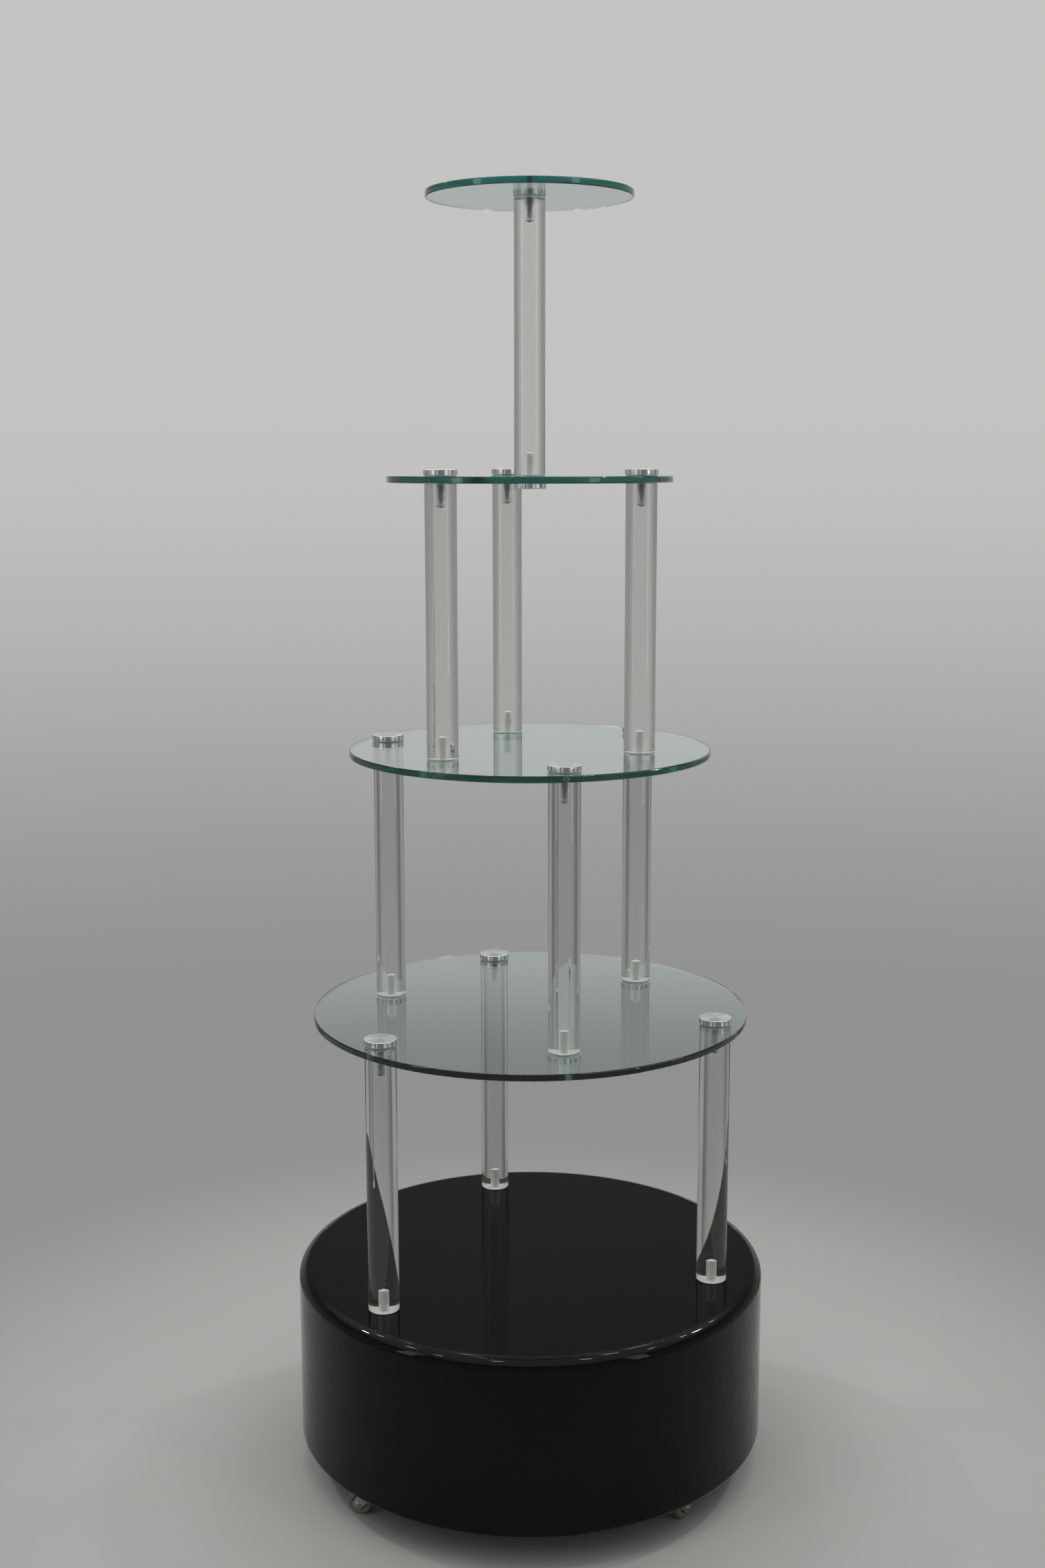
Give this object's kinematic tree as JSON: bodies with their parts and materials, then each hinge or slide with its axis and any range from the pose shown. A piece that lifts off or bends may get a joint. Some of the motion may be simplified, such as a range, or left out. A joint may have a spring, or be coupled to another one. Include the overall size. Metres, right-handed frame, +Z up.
{
  "type": "display stand",
  "caption": "Tiered round display stand: glass shelves clamped on clear rods by turned metal caps, on a gloss black drum base with swivel casters.",
  "frame": {"origin": "on the floor, under the stand's vertical axis", "axes": "+Z up along the stand's axis; -Y towards the front, where a rod of the second tier stands; +X to the right seen from the front"},
  "size_m": [0.6, 0.5998, 1.612],
  "materials": {
    "glass": "polished",
    "clear_acrylic": "polished",
    "clear_washer": "satin",
    "turned_aluminium": "polished",
    "steel_fixings": "satin",
    "black_lacquer": "gloss",
    "black_board": "matte",
    "bare_wood": "matte",
    "zinc_steel": "satin",
    "wheel_plastic": "satin",
    "wheel_tread": "satin"
  },
  "bodies": {
    "stand": {"base_foot_washers": "clear_washer", "base_nuts": "steel_fixings", "base_steel_washers": "steel_fixings", "base_studs": "steel_fixings", "board_screws": "steel_fixings", "bottom_board": "black_board", "caster_back_left_plate": "zinc_steel", "caster_back_right_plate": "zinc_steel", "caster_bearing_balls": "steel_fixings", "caster_front_left_plate": "zinc_steel", "caster_front_right_plate": "zinc_steel", "caster_king_pins": "steel_fixings", "caster_screws": "steel_fixings", "drum_shell": "black_lacquer", "glue_blocks": "bare_wood", "shelf_1_glass": "glass", "shelf_1_lower_caps": "turned_aluminium", "shelf_1_studs": "steel_fixings", "shelf_1_upper_caps": "turned_aluminium", "shelf_1_washers": "clear_washer", "shelf_2_glass": "glass", "shelf_2_lower_caps": "turned_aluminium", "shelf_2_studs": "steel_fixings", "shelf_2_upper_caps": "turned_aluminium", "shelf_2_washers": "clear_washer", "shelf_3_glass": "glass", "shelf_3_lower_caps": "turned_aluminium", "shelf_3_studs": "steel_fixings", "shelf_3_upper_caps": "turned_aluminium", "shelf_3_washers": "clear_washer", "shelf_4_glass": "glass", "shelf_4_studs": "steel_fixings", "shelf_4_upper_caps": "turned_aluminium", "shelf_4_washers": "clear_washer", "tier_1_rod_back": "clear_acrylic", "tier_1_rod_left": "clear_acrylic", "tier_1_rod_right": "clear_acrylic", "tier_2_rod_front": "clear_acrylic", "tier_2_rod_left": "clear_acrylic", "tier_2_rod_right": "clear_acrylic", "tier_3_rod_back": "clear_acrylic", "tier_3_rod_left": "clear_acrylic", "tier_3_rod_right": "clear_acrylic", "tier_4_rod_centre": "clear_acrylic"},
    "caster_back_right_swivel": {"caster_back_right_fork": "zinc_steel", "caster_back_right_axle": "steel_fixings"},
    "caster_back_right_roller": {"caster_back_right_wheel": "wheel_plastic", "caster_back_right_tyre": "wheel_tread"},
    "caster_back_left_swivel": {"caster_back_left_fork": "zinc_steel", "caster_back_left_axle": "steel_fixings"},
    "caster_back_left_roller": {"caster_back_left_wheel": "wheel_plastic", "caster_back_left_tyre": "wheel_tread"},
    "caster_front_left_swivel": {"caster_front_left_fork": "zinc_steel", "caster_front_left_axle": "steel_fixings"},
    "caster_front_left_roller": {"caster_front_left_wheel": "wheel_plastic", "caster_front_left_tyre": "wheel_tread"},
    "caster_front_right_swivel": {"caster_front_right_fork": "zinc_steel", "caster_front_right_axle": "steel_fixings"},
    "caster_front_right_roller": {"caster_front_right_wheel": "wheel_plastic", "caster_front_right_tyre": "wheel_tread"}
  },
  "joints": [
    {"name": "back_right_swivel", "type": "hinge", "parent": "stand", "child": "caster_back_right_swivel", "pos_m": [0.22517, 0.13, 0.0365], "axis": [0, 0, 1], "continuous": true},
    {"name": "back_right_roll", "type": "hinge", "parent": "caster_back_right_swivel", "child": "caster_back_right_roller", "pos_m": [0.22266, 0.14783, 0.016], "axis": [-0.9903, -0.1392, 0], "continuous": true},
    {"name": "back_left_swivel", "type": "hinge", "parent": "stand", "child": "caster_back_left_swivel", "pos_m": [-0.13, 0.22517, 0.0365], "axis": [0, 0, 1], "continuous": true},
    {"name": "back_left_roll", "type": "hinge", "parent": "caster_back_left_swivel", "child": "caster_back_left_roller", "pos_m": [-0.14006, 0.21024, 0.016], "axis": [0.829, -0.5592, 0], "continuous": true},
    {"name": "front_left_swivel", "type": "hinge", "parent": "stand", "child": "caster_front_left_swivel", "pos_m": [-0.22517, -0.13, 0.0365], "axis": [0, 0, 1], "continuous": true},
    {"name": "front_left_roll", "type": "hinge", "parent": "caster_front_left_swivel", "child": "caster_front_left_roller", "pos_m": [-0.24106, -0.12155, 0.016], "axis": [-0.4695, -0.8829, 0], "continuous": true},
    {"name": "front_right_swivel", "type": "hinge", "parent": "stand", "child": "caster_front_right_swivel", "pos_m": [0.13, -0.22517, 0.0365], "axis": [0, 0, 1], "continuous": true},
    {"name": "front_right_roll", "type": "hinge", "parent": "caster_front_right_swivel", "child": "caster_front_right_roller", "pos_m": [0.14418, -0.21408, 0.016], "axis": [-0.6157, 0.788, 0], "continuous": true}
  ]
}
